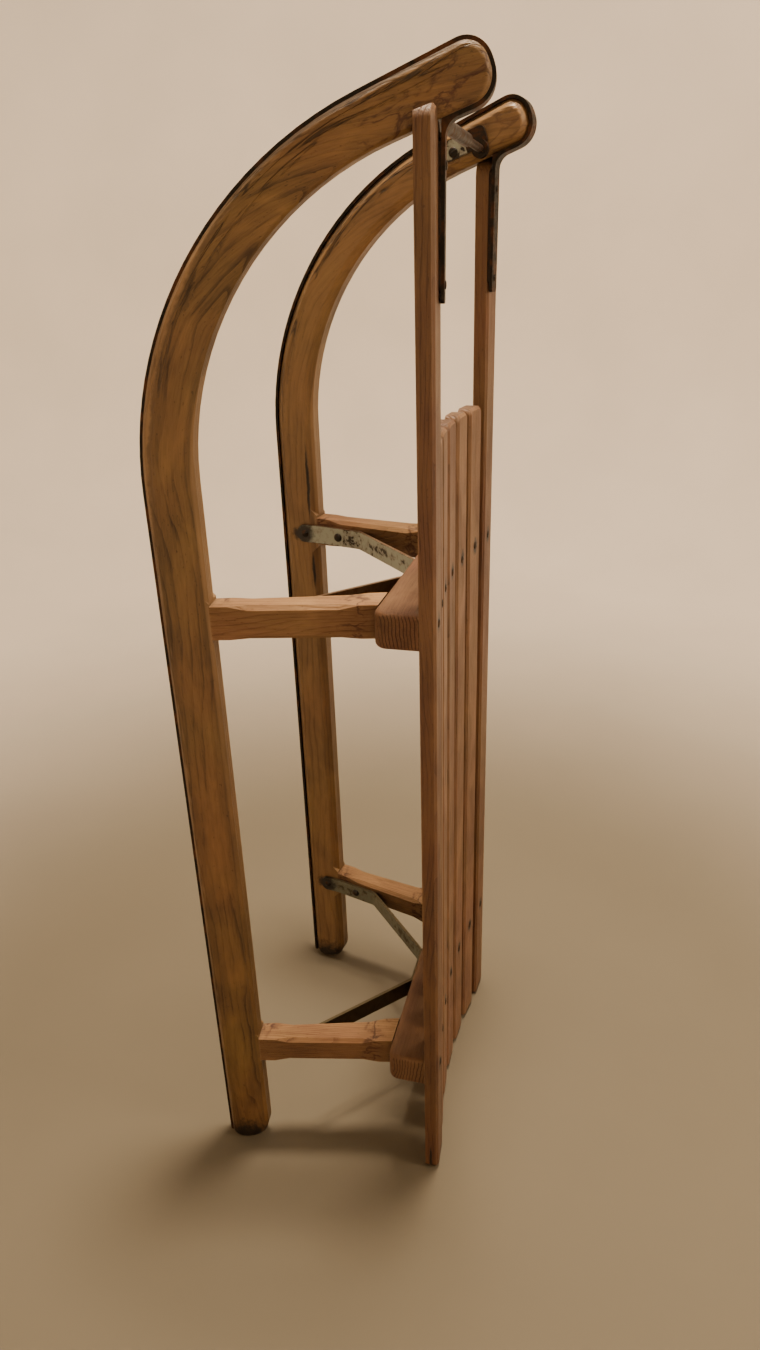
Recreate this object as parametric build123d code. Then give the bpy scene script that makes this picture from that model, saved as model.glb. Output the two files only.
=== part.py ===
from build123d import *
import math
import os

# A slatted wooden toboggan with bent horn runners, standing on its tail ends.
# Z runs along the sled from the tails to the horns, X from the runners' soles to the seat,
# Y across the sled. Every length is in millimetres and every angle in degrees.

# Runners: one bent plank each, straight from the tail, then round the bend into the horn
straight_length = 785.0
bend_radius = 302.0
horn_angle = 21.0
nose_overhang = 27.2
runner_depth = 45.0
runner_width = 24.0
underside_lag = 10.0
underside_angle = 19.0
nose_fillet = 17.0
tail_sole_fillet = 12.0
tail_seat_fillet = 30.0
sole_round = 3.5
inner_chamfer = 7.0
outer_chamfer = 3.0

# Stance: how high the seat is over the soles, and how the runners spread
sole_height = 252.5
splay = 7.5
horn_inset = 11.0

# Steel irons on the soles, which come back under the horns and run down on the rails
iron_width = 16.0
iron_thickness = 3.0
iron_tail_gap = 8.0
iron_turn_radius = 13.0
strap_standoff = 1.0
strap_length = 120.0
strap_round = 4.0

# Seat: two long rails outside, and the slats of the dished seat between them
seat_width = 316.0
rail_width = 36.0
rail_thickness = 15.0
rail_tilt = 4.0
rail_tongue = 9.0
tongue_round = 12.0
shoulder_round = 18.0
slat_count = 5
slat_width = 34.0
slat_thickness = 15.0
slat_length = 820.0
slat_floor_gap = 2.0
dish_depth = 12.0
slat_corner = 7.0
slat_chamfer = 2.5

# Yokes: a crossbeam on two legs at each place along the sled
front_yoke_height = 668.0
rear_yoke_height = 147.0
beam_back = 56.0
beam_height = 35.0
beam_corner = 12.0
beam_round = 5.0
leg_height = 32.0
leg_head = 35.0
leg_inset = 40.0
leg_chamfer = 4.0
leg_stop = 16.0
chamfer_slope = 18.0
joint_land = 38.0
tenon_height = 20.0
tenon_width = 9.0
tenon_length = 16.0

# Brace straps from the runners along the legs to the middle of each crossbeam
brace_width = 21.0
brace_thickness = 3.5
brace_drop = 3.0
brace_overlap = 24.0
brace_leg_run = 62.0
brace_flat = 52.0
brace_bend = 9.0
brace_end_round = 8.0

# Steel rod between the horns: a palm and a collar on each horn, and a sleeve slid to the left
rod_diameter = 7.0
rod_place = -9.0
rod_lift = 8.5
collar_diameter = 16.0
collar_thickness = 5.5
sleeve_diameter = 11.0
sleeve_length = 155.0
palm_length = 45.0
palm_height = 17.0
palm_thickness = 3.0
palm_overhang = 6.0
palm_margin = 11.0
palm_round = 5.0

# What one piece stands off another that it isn't fastened flat against
clearance = 0.2

# Places that follow from the sizes above
sole = -sole_height
seat_side = sole + runner_depth
underside_start = straight_length + underside_lag
underside_radius = bend_radius - runner_depth
inner_face = -runner_width / 2
beam_plane = -beam_back
beam_end = seat_width / 2
rail_centre = beam_end - rail_width / 2
leg_place = beam_end - leg_inset
yokes = {"front": front_yoke_height, "rear": rear_yoke_height}

# How far a cutting shape reaches past what it cuts
reach = 4 * runner_depth


def way(angle):
    """unit vector in the sketch plane that climbs by angle"""
    return Vector(math.cos(math.radians(angle)), math.sin(math.radians(angle)))


def hook(x, foot, turn_at, radius, climb, end_x):
    """line up from the foot, arc over towards the seat, and line along the horn to end_x"""
    rising = Line((x, foot), (x, turn_at))
    turning = JernArc(start=(x, turn_at), tangent=(0, 1), radius=radius, arc_size=climb - 90)
    run = (end_x - (turning @ 1).X) / way(climb).X
    horn = Line(turning @ 1, turning @ 1 + way(climb) * run)
    return [rising, turning, horn]


def underside_at(x):
    """height of the horn's wooden underside at x"""
    return (hook(seat_side, 0, underside_start, underside_radius, underside_angle, x)[2] @ 1).Y


def runner_lines():
    """sole line and seat-side line of a runner, which end on the plane of its nose"""
    sole_line = hook(sole, 0, straight_length, bend_radius, horn_angle, nose_overhang)
    below_nose = Vector(nose_overhang, underside_at(nose_overhang))
    along = way(horn_angle)
    lean = way(underside_angle)
    short = (sole_line[2] @ 1 - below_nose).dot(along) / lean.dot(along) * lean.X
    end_x = nose_overhang + short
    seat_line = hook(seat_side, 0, underside_start, underside_radius, underside_angle, end_x)
    return sole_line, seat_line


def corners(face, points):
    """vertices of the face that lie at the points"""
    return [v for v in face.vertices() for p in points if (Vector(*v) - Vector(*p)).length < 0.01]


def runner_outline():
    """side face of a runner with its rounded nose and tail"""
    sole_line, seat_line = runner_lines()
    nose_top, nose_low = sole_line[2] @ 1, seat_line[2] @ 1
    tail_sole, tail_seat = sole_line[0] @ 0, seat_line[0] @ 0
    nose_end = Line(nose_top, nose_low)
    tail_end = Line(tail_sole, tail_seat)
    face = make_face([*sole_line, *seat_line, nose_end, tail_end])
    face = fillet(corners(face, [nose_top, nose_low]), nose_fillet)
    face = fillet(corners(face, [tail_sole]), tail_sole_fillet)
    return fillet(corners(face, [tail_seat]), tail_seat_fillet)


def slab(face, width):
    """sketch of the runner's plane as a solid of that width about it"""
    return extrude(Plane.XZ * face, width / 2, both=True)


runner_frame = Pos(0, rail_centre - horn_inset, 0) * Rot(0, 0, -splay)
rail_frame = Pos(0, rail_centre, 0) * Rot(0, 0, -rail_tilt)


def placed(frame, x, y):
    """where a point of a frame stands on the sled"""
    return (frame * Pos(x, y, 0)).position


def other_side(shape):
    return mirror(shape, about=Plane.XZ)


def foot_tenon(height):
    """tenon of a leg in its runner, in the runner's frame"""
    return Pos(seat_side - tenon_length / 2, 0, height) * Box(tenon_length, tenon_width, tenon_height)


def head_tenon(height):
    """tenon of a leg in its crossbeam"""
    middle = Pos(beam_plane + tenon_length / 2, leg_place, height)
    return middle * Box(tenon_length, tenon_width, tenon_height)


def land(height):
    """where a leg stands on a runner, with the chamfers' run-outs at 45 degrees"""
    depth = 2 * inner_chamfer
    half = joint_land / 2
    low = height - half
    high = height + half
    seat_edge = [(seat_side, low), (seat_side, high)]
    deep_edge = [(seat_side - depth, high + depth), (seat_side - depth, low - depth)]
    return slab(make_face(Polyline(*seat_edge, *deep_edge, close=True)), runner_width)


def build_runner():
    """bent plank with a rounded rim, and chamfers that stop at the lands of the legs"""
    body = slab(runner_outline(), runner_width)
    seat_line = [Plane.XZ * line for line in runner_lines()[1]]

    def edges_of_side(y, on_seat_line):
        found = []
        for edge in body.edges():
            middle = edge @ 0.5
            spot = Vertex(middle.X, 0, middle.Z)
            is_seat_side = min(line.distance_to(spot) for line in seat_line) < 0.01
            if abs(middle.Y - y) < 0.01 and is_seat_side == on_seat_line:
                found.append(edge)
        return found

    for y, size in ((inner_face, inner_chamfer), (-inner_face, outer_chamfer)):
        body = chamfer(edges_of_side(y, True), size)
        body = fillet(edges_of_side(y, False), sole_round)
    for height in yokes.values():
        body += land(height)
        body -= foot_tenon(height)
    return runner_frame * body


def build_iron():
    """strip round the sole and the nose, turned down under the horn in front of the rail"""
    outline = runner_outline()
    band = offset(outline, iron_thickness, kind=Kind.ARC) - outline
    half = runner_depth / 2
    middle_radius = bend_radius - half
    middle = hook(sole + half, -reach, straight_length, middle_radius, horn_angle, strap_standoff)
    low_corner = (strap_standoff, -reach)
    inside = make_face([*middle, Line(middle[2] @ 1, low_corner), Line(low_corner, middle[0] @ 0)])
    band -= inside
    band -= Pos(sole, iron_tail_gap - reach / 2) * Rectangle(reach, reach)
    strap_top = underside_at(strap_standoff)
    strap_low = underside_at(0) - strap_length
    front = strap_standoff + iron_thickness
    band += make_face(
        Polyline(
            (strap_standoff, strap_top),
            (front, strap_top),
            (iron_thickness, strap_low),
            (0, strap_low),
            close=True,
        )
    )
    turn_z = underside_at(front) - iron_thickness / way(underside_angle).X
    turn = band.vertices().sort_by_distance((front, turn_z, 0))[0]
    body = slab(fillet(turn, iron_turn_radius), iron_width)
    tip = [e for e in body.edges().filter_by(Axis.X) if abs((e @ 0.5).Z - strap_low) < 0.01]
    return runner_frame * fillet(tip, strap_round)


def upright(width, length):
    """front face of a slat that stands on the origin"""
    return Rectangle(width, length, align=(Align.CENTER, Align.MIN))


def plank(face, thickness):
    """slat of that front face, with its seat face at X = 0 and the edges of it broken"""
    body = extrude(Plane.YZ * face, -thickness)
    return chamfer(body.faces().sort_by(Axis.X)[-1].edges(), slat_chamfer)


def build_rail():
    """long seat rail, notched under the horn, its tongue lying along the horn's outer face"""
    shoulder = underside_at(0)
    top = shoulder + rail_tongue
    outer = rail_width / 2
    face = upright(rail_width, top)
    face = fillet(corners(face, [(-outer, 0), (outer, 0)]), slat_corner)
    face = fillet(corners(face, [(outer, top)]), tongue_round)
    body = plank(face, rail_thickness)

    above = Box(reach, reach, reach, align=(Align.CENTER, Align.CENTER, Align.MIN))
    body -= Pos(0, 0, top) * Rot(0, -underside_angle, 0) * above
    corner = Rectangle(reach, reach, align=(Align.MAX, Align.MIN)) - Circle(shoulder_round)
    corner = Pos(shoulder_round - outer, shoulder - shoulder_round) * corner
    body -= extrude(Plane.YZ * corner, rail_thickness, both=True)

    low = [(x, underside_at(x) - clearance) for x in (-reach, reach)]
    high = [(x, top + reach) for x in (reach, -reach)]
    notch = slab(make_face(Polyline(*low, *high, close=True)), reach)
    notch_face = runner_width / 2 + clearance
    return rail_frame * body - runner_frame * Pos(0, notch_face - reach / 2, 0) * notch


def dish():
    """radius, centre and half span of the arc in a crossbeam that carries the inner slats"""
    rail_corner = placed(rail_frame, -rail_thickness - clearance, -rail_width / 2)
    depth = dish_depth - slat_thickness - rail_corner.X
    radius = (rail_corner.Y ** 2 + depth ** 2) / (2 * depth)
    return radius, rail_corner.X - depth + radius, rail_corner.Y


def build_slat(index):
    """inner slat standing on the arc of the dish"""
    radius, centre_x, half = dish()
    gap = (2 * half - slat_count * slat_width) / (slat_count + 1)
    y = (index - (slat_count - 1) / 2) * (slat_width + gap)
    turn = math.degrees(math.asin(y / radius))
    seat_radius = math.sqrt((radius - clearance) ** 2 - (slat_width / 2) ** 2) - slat_thickness
    face = upright(slat_width, slat_length)
    body = plank(fillet(face.vertices(), slat_corner), slat_thickness)
    return Pos(centre_x, 0, slat_floor_gap) * Rot(0, 0, -turn) * Pos(-seat_radius, 0, 0) * body


def build_beam(height):
    """crossbeam dished for the slats, with mortises for the legs"""
    radius, centre_x, half = dish()
    inner_x = placed(rail_frame, -rail_thickness - clearance, -rail_width / 2).X
    outer_x = inner_x + (beam_end - half) * math.tan(math.radians(rail_tilt))
    outline = [
        Line((beam_plane, beam_end), (outer_x, beam_end)),
        Line((outer_x, beam_end), (inner_x, half)),
        ThreePointArc((inner_x, half), (centre_x - radius, 0), (inner_x, -half)),
        Line((inner_x, -half), (outer_x, -beam_end)),
        Line((outer_x, -beam_end), (beam_plane, -beam_end)),
        Line((beam_plane, -beam_end), (beam_plane, beam_end)),
    ]
    face = make_face(outline)
    face = fillet(corners(face, [(beam_plane, beam_end), (beam_plane, -beam_end)]), beam_corner)
    body = extrude(face, beam_height / 2, both=True)
    rims = body.faces().sort_by(Axis.X)[0].edges().filter_by(Axis.Y)
    body = Pos(0, 0, height) * fillet(rims, beam_round)
    mortise = head_tenon(height)
    return body - mortise - other_side(mortise)


def leg_sides():
    """inner and outer side of a leg in plan, each from its runner to its crossbeam"""
    sides = []
    for way_out in (-1, 1):
        foot = placed(runner_frame, seat_side, way_out * runner_width / 2)
        head = Vector(beam_plane, leg_place + way_out * leg_head / 2)
        sides.append((Vector(foot.X, foot.Y), head))
    return sides


def stopped_chamfer(start, end, outward):
    """tool that takes the chamfer off an edge and runs out before both ends of it"""
    along = end - start
    depth = leg_chamfer / math.sqrt(2)
    low = leg_stop
    high = along.length - leg_stop
    rise = [(low, depth), (low, 0), (low + chamfer_slope, -depth)]
    fall = [(high - chamfer_slope, -depth), (high, 0), (high, depth)]
    frame = Plane(origin=start, x_dir=along, z_dir=along.cross(outward))
    return extrude(frame * make_face(Polyline(*rise, *fall, close=True)), leg_chamfer, both=True)


def build_leg(height):
    """leg that widens towards its crossbeam, with stopped chamfers and a tenon at each end"""
    inner, outer = leg_sides()
    body = extrude(make_face(Polyline(*inner, *reversed(outer), close=True)), leg_height / 2, both=True)
    for z in (-leg_height / 2, leg_height / 2):
        for way_out, (foot, head) in ((1, inner), (-1, outer)):
            lift = Vector(0, 0, z)
            side_normal = (head - foot).cross(Vector(0, 0, way_out)).normalized()
            body -= stopped_chamfer(foot + lift, head + lift, side_normal + lift.normalized())
    return Pos(0, 0, height) * body + runner_frame * foot_tenon(height) + head_tenon(height)


def build_brace(height):
    """flat strap from runner to runner by way of both legs and the crossbeam's middle"""
    stand = brace_thickness / 2 + clearance
    foot, head = leg_sides()[0]
    along = (head - foot).normalized()
    bend = foot + along * brace_leg_run + along.cross(Vector(0, 0, 1)) * stand
    points = [
        placed(runner_frame, seat_side - brace_overlap, inner_face - stand),
        placed(runner_frame, seat_side, inner_face - stand),
        bend,
        Vector(beam_plane - brace_thickness / 2, brace_flat / 2),
    ]
    points += [Vector(p.X, -p.Y) for p in reversed(points)]
    path = FilletPolyline(*points, radius=brace_bend)
    start = Plane(origin=path @ 0, x_dir=(0, 0, 1), z_dir=path % 0)
    body = sweep(start * Rectangle(brace_width, brace_thickness), path=path)
    tips = [e for e in body.edges() if abs(e.length - brace_thickness) < 0.01]
    tips = sorted(tips, key=lambda e: (e @ 0.5).X)[:4]
    return Pos(0, 0, height - brace_drop) * fillet(tips, brace_end_round)


def build_rod():
    """round rod that carries a sleeve, with a palm and a collar on the inner face of each horn"""
    middle = rod_place + palm_overhang - palm_length / 2
    palm = RectangleRounded(palm_length, palm_height, palm_round)
    palm_z = underside_at(middle) + palm_margin + palm_height / 2
    palm = Pos(middle, palm_z) * Rot(0, 0, underside_angle) * palm
    palm = Pos(0, inner_face - palm_thickness / 2, 0) * slab(palm, palm_thickness)
    rod_z = underside_at(rod_place) + rod_lift
    collar = slab(Pos(rod_place, rod_z) * Circle(collar_diameter / 2), collar_thickness)
    foot = runner_frame * (palm + Pos(0, inner_face - collar_thickness / 2, 0) * collar)

    end = placed(runner_frame, rod_place, inner_face - collar_thickness / 2)
    across = Pos(end.X, 0, rod_z) * Rot(90, 0, 0)
    rod = across * Cylinder(rod_diameter / 2, 2 * end.Y)
    sleeve = across * Pos(0, 0, end.Y - sleeve_length / 2) * Cylinder(sleeve_diameter / 2, sleeve_length)
    return rod + sleeve + foot + other_side(foot)


nodes = {"nose_rod": build_rod()}
pairs = {"runner": build_runner(), "runner_iron": build_iron(), "seat_rail": build_rail()}
for place, height in yokes.items():
    nodes["crossbeam_" + place] = build_beam(height)
    nodes["brace_" + place] = build_brace(height)
    pairs["leg_" + place] = build_leg(height)
for name, shape in pairs.items():
    nodes[name + "_right"] = shape
    nodes[name + "_left"] = other_side(shape)
for index in range(slat_count):
    nodes[f"seat_slat_{index + 1}"] = build_slat(index)

# The origin lies on the floor, under the middle of the whole sled
boxes = [shape.bounding_box() for shape in nodes.values()]
middle_x = (min(box.min.X for box in boxes) + max(box.max.X for box in boxes)) / 2

os.makedirs("parts", exist_ok=True)
for name, shape in nodes.items():
    export_step(Pos(-middle_x, 0, 0) * shape, f"parts/{name}.step")
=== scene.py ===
import math

import bmesh
import bpy
from bpy.props import FloatProperty, FloatVectorProperty, IntProperty, PointerProperty
from bpy.types import Operator, Panel, PropertyGroup
from mathutils import Matrix, Vector, noise


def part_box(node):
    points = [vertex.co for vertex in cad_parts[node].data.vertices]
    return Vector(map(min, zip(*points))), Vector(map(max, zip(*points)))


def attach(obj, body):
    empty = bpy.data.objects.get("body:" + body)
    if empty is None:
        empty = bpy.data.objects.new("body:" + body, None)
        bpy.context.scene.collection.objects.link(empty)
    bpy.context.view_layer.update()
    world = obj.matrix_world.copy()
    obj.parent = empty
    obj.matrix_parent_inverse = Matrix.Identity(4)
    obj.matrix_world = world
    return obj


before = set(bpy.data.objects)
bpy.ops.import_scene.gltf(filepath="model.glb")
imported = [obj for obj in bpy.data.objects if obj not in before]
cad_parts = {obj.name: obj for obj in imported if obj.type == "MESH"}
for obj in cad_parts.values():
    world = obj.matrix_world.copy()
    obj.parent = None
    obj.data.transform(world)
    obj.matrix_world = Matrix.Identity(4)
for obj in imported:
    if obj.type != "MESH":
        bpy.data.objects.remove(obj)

bl_info = {
    "name": "Wooden Toboggan",
    "version": (1, 0, 0),
    "blender": (4, 5, 0),
    "location": "3D View > Sidebar > Toboggan",
    "description": "Finishes, fastenings and studio of a slatted wooden toboggan",
    "category": "Object",
}

# Sizes of the sled that the looks depend on, in metres. X runs from the soles to the seat,
# Y across the sled and Z from the tails to the horns
RUNNER_FOOT = Vector((0.1074, 0.129, 0.0))
SPLAY = math.radians(7.5)
BEND_CENTRE = 0.0495
BEND_START = 0.785
BEND_RADIUS = 0.302
HORN_TURN = math.radians(69)
HORN_SLOPE = math.radians(19)
YOKES = {"front": 0.668, "rear": 0.147}
SCREW_HEIGHTS = (0.674, 0.150)
STRAP_TOP = 1.0498
SLATS = [f"seat_slat_{i + 1}" for i in range(5)]
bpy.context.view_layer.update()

# Each brace runs a little below the height of its yoke. It's bolted to the runner and the leg at
# these X of a runner's own frame, and to the crossbeam at this Y
BRACE_DROP = 0.003
RUNNER_BOLT = -0.2225
LEG_BOLT = -0.176
MIDDLE_BOLT = 0.016
# The rod's palms are screwed on at this X, so far above the line of the horn's underside
ROD_SCREW = -0.036
ROD_LIFT = 0.0165

# The photo's camera: place, then yaw, pitch and roll in degrees, and the lens in millimetres
EYE = (0.2541, -0.8586, 0.9579)
EYE_TURN = (15.664, 24.477, -1.871)
LENS = 24.0
SENSOR = 36.0

# For nodes: every output, a range with soft ends, and a blend of two colours
ALL = slice(None)
SMOOTH = {"interpolation_type": "SMOOTHSTEP"}
BLEND = {"take": 2, "data_type": "RGBA"}


def srgb(code):
    """colour of an sRGB hex value, in the linear values that shaders work in"""
    parts = [int(code[i:i + 2], 16) / 255 for i in (0, 2, 4)]
    return (*[c / 12.92 if c <= 0.04045 else ((c + 0.055) / 1.055) ** 2.4 for c in parts], 1.0)


def colour(name, description, code):
    """colour setting of the panel"""
    return FloatVectorProperty(
        name=name,
        description=description,
        default=srgb(code),
        size=4,
        min=0,
        max=1,
        subtype="COLOR",
    )


def length(name, description, default, least):
    """length setting of the panel"""
    return FloatProperty(
        name=name, description=description, default=default, min=least, unit="LENGTH"
    )


def power(name, description, default):
    """setting of the panel for a light's power"""
    return FloatProperty(name=name, description=description, default=default, min=0.0, unit="POWER")


class WoodSettings(PropertyGroup):
    """Colours and figure of the ash"""

    runner_light: colour("Runner, pale", "Late wood of the runners under old varnish", "866438")
    runner_dark: colour("Runner, dark", "Early wood and dirt of the runners", "3E2913")
    slat_light: colour("Slats, pale", "Late wood of the slats", "825D41")
    slat_dark: colour("Slats, dark", "Early wood and dirt of the slats", "4E3523")
    rail_light: colour("Rails, pale", "Late wood of the rails", "6F4D2E")
    rail_dark: colour("Rails, dark", "Early wood and dirt of the rails", "46291A")
    leg_light: colour("Legs, pale", "Bare late wood of the legs", "84623E")
    leg_dark: colour("Legs, dark", "Early wood and stains of the legs", "50321B")
    beam_light: colour("Crossbeams, pale", "Late wood of the crossbeams", "745033")
    beam_dark: colour("Crossbeams, dark", "Early wood and stains of the crossbeams", "482C19")
    knot: colour("Knots", "Red-brown figure round the knots", "3C180A")
    # This pale colour is rubbed wood and also the runners' painted highlight and painted light
    worn: colour("Worn edge and highlight", "Bare wood of rubbed edges, also a painted highlight and painted light on the runners", "A5845E")
    # This dark brown is dirt and stains, and also painted shade in corners, under the horns and in
    # the gaps behind the straps
    grime_and_shade: colour("Grime and shade", "Dirt on tails and in stains; painted shade in corners and under the horns", "1C130C")
    runner_ring: length("Runner rings", "Width of a growth ring in the runners", 0.0042, 0.001)
    seat_ring: length("Seat rings", "Width of a growth ring in rails and slats", 0.0030, 0.001)
    leg_ring: length("Leg rings", "Width of a growth ring in the legs", 0.0024, 0.001)
    beam_ring: length("Crossbeam rings", "Width of a growth ring in crossbeams", 0.0034, 0.001)


class SteelSettings(PropertyGroup):
    """Colours of the irons, braces and the rod"""

    iron: colour("Iron", "Brown-black skin of the soles' irons", "231E19")
    rust: colour("Rust", "Rust that shows on irons and through chips", "5E3A22")
    enamel: colour("Enamel", "Grey-green enamel of the braces", "9BA296")
    chip: colour("Chips", "Primer and scale where the enamel has come off", "1E1A16")
    brace: colour("Brace back", "Brown back of the braces, without enamel", "6B5640")
    # Dark olive that the braces turn towards the bottom
    low_olive: colour("Low olive", "Dark olive that the braces turn towards the bottom", "46432F")
    rod: colour("Rod", "Dark grey steel of the rod and of rubbed irons", "2E2A26")
    bolt: colour("Bolts", "Blackened steel of the bolts", "2A2622")


class FasteningSettings(PropertyGroup):
    """Sizes of the small fastenings"""

    screw: length("Slat screw", "Head diameter of the screws in the seat", 0.0078, 0.004)
    nail: length("Iron nail", "Head diameter of the nails in the irons", 0.0065, 0.003)
    turns: IntProperty(
        name="Sides", description="Sides of each round head", default=20, min=8, max=48
    )


class StageSettings(PropertyGroup):
    """Floor, backdrop and lights"""

    floor: colour("Floor", "Pale plaster of the floor", "6E6554")
    backdrop: colour("Backdrop", "Paler plaster away from the sled and up the backdrop", "DCD1C2")
    key_power: power("Key light", "Power of the soft light off the sled's seat", 27.0)
    top_power: power("Top light", "Power of the light over the sled", 131.0)
    room_power: power("Room light", "Power of the bulb that lights the room all round", 7.5)
    backdrop_power: power("Backdrop light", "Power of the light behind the sled", 25.0)


def fill(tree, made, inputs):
    """set inputs of a node, by socket in a dict or in order, to values or to nodes' outputs"""
    for key, value in inputs.items() if isinstance(inputs, dict) else enumerate(inputs):
        if isinstance(value, bpy.types.NodeSocket):
            tree.links.new(value, made.inputs[key])
        else:
            made.inputs[key].default_value = value


def node(tree, kind, inputs=(), take=0, **settings):
    """add a shader node with its inputs and settings, and return one output or all of them"""
    made = tree.nodes.new("ShaderNode" + kind)
    for key, value in settings.items():
        setattr(made, key, value)
    fill(tree, made, inputs)
    return made.outputs[take]


def new_material(name):
    """empty material with its tree and shader"""
    material = bpy.data.materials.new(name)
    material.use_nodes = True
    return material, material.node_tree, material.node_tree.nodes["Principled BSDF"]


def stretched(tree, place, stretch, detail, scale=1.0, distortion=0.0, take="Fac"):
    """noise drawn out along the grain, by its cells per metre across the grain and along it"""
    place = node(tree, "Mapping", {"Vector": place, "Scale": stretch})
    return node(
        tree,
        "TexNoise",
        {"Vector": place, "Scale": scale, "Detail": detail, "Distortion": distortion},
        take,
    )


def rubbed_edges(tree, radius, sharp, most):
    """factor up to most along edges, where the shape turns away from one with rounder edges"""
    shape = node(tree, "NewGeometry", take="Normal")
    soft = node(tree, "Bevel", {"Radius": radius}, samples=6)
    turn = node(tree, "VectorMath", (shape, soft), "Value", operation="DOT_PRODUCT")
    return node(tree, "MapRange", (turn, 0.99, sharp, 0.0, most))


def mirrored_place(tree):
    """place on the sled, the left half folded over the right one"""
    x, y, z = node(tree, "SeparateXYZ", (node(tree, "TexCoord", take="Object"),), ALL)
    y = node(tree, "Math", (y,), operation="ABSOLUTE")
    return node(tree, "CombineXYZ", (x, y, z))


def turned_grain(turn):
    """grain of a straight piece: a rotation that lays its length along Z"""
    turn = [math.radians(a) for a in turn]

    def grain(tree):
        return node(tree, "Mapping", {"Vector": mirrored_place(tree), "Rotation": turn})

    return grain


def bent_grain(tree):
    """grain of a runner: X across its depth, Y across its width, Z along the bent plank"""
    place = node(
        tree,
        "Mapping",
        {"Vector": mirrored_place(tree), "Location": RUNNER_FOOT, "Rotation": (0, 0, -SPLAY)},
        vector_type="TEXTURE",
    )
    x, y, z = node(tree, "SeparateXYZ", (place,), ALL)
    inward = node(tree, "Math", (BEND_CENTRE, x), operation="SUBTRACT")
    above = node(tree, "Math", (z, BEND_START), operation="SUBTRACT")
    risen = node(tree, "Math", (above, 0.0), operation="MAXIMUM")
    arm = node(tree, "CombineXYZ", (inward, 0.0, risen))
    radius = node(tree, "VectorMath", (arm,), "Value", operation="LENGTH")
    angle = node(tree, "Math", (risen, inward), operation="ARCTAN2")
    bent = node(tree, "Math", (angle, HORN_TURN), operation="MINIMUM")

    # Past the bend the horn is straight, so its place is taken along and across its own line
    out = Vector((math.cos(HORN_TURN), 0, math.sin(HORN_TURN)))
    on = Vector((-math.sin(HORN_TURN), 0, math.cos(HORN_TURN)))
    across = node(tree, "VectorMath", (arm, out), "Value", operation="DOT_PRODUCT")
    along = node(tree, "VectorMath", (arm, on), "Value", operation="DOT_PRODUCT")
    along = node(tree, "Math", (along, 0.0), operation="MAXIMUM")
    on_horn = node(tree, "Math", (angle, HORN_TURN), operation="GREATER_THAN")
    depth = node(tree, "Mix", {0: on_horn, 2: radius, 3: across})

    low = node(tree, "Math", (z, BEND_START), operation="MINIMUM")
    round_bend = node(tree, "Math", (bent, BEND_RADIUS, low), operation="MULTIPLY_ADD")
    run = node(tree, "Math", (round_bend, along), operation="ADD")
    return node(tree, "CombineXYZ", (depth, y, run))


def horn_runout(tree, spot):
    """grain of a runner that was sawn straighter than its bend, so that it runs out of the horn"""
    start, slope = 0.94, 0.24
    depth, across, run = node(tree, "SeparateXYZ", (spot,), ALL)
    past = node(tree, "Math", (run, start), operation="SUBTRACT")
    past = node(tree, "Math", (past, 0.0), operation="MAXIMUM")
    depth = node(tree, "Math", (past, slope, depth), operation="MULTIPLY_ADD")
    return node(tree, "CombineXYZ", (depth, across, run))


def blotches(tree, spot, places, ragged=0.7):
    """factor that is 1 in some oval places, each a centre and half sizes, with ragged edges"""
    grit = node(tree, "TexNoise", {"Vector": spot, "Scale": 220.0, "Detail": 4.0}, "Fac")
    outer, inner = 1.0 + 0.6 * ragged, 0.55 + 0.45 * ragged
    most = 0.0
    for centre, size in places:
        oval = {"Vector": spot, "Location": centre, "Scale": size}
        away = node(tree, "Mapping", oval, vector_type="TEXTURE")
        reach = node(tree, "VectorMath", (away,), "Value", operation="LENGTH")
        reach = node(tree, "Math", (grit, ragged, reach), operation="MULTIPLY_ADD")
        inside = node(tree, "MapRange", (reach, outer, inner, 0.0, 1.0), **SMOOTH)
        most = node(tree, "Math", (most, inside), operation="MAXIMUM")
    return most


def veins(tree, spot, squeeze, width=0.06):
    """soft dark bands that wander along the grain, as round a knot"""
    swirl = stretched(tree, spot, squeeze, 5.0, distortion=0.5)
    off = node(tree, "Math", (swirl, 0.5), operation="SUBTRACT")
    off = node(tree, "Math", (off,), operation="ABSOLUTE")
    return node(tree, "MapRange", (off, 0.0, width, 0.9, 0.0))


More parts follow.
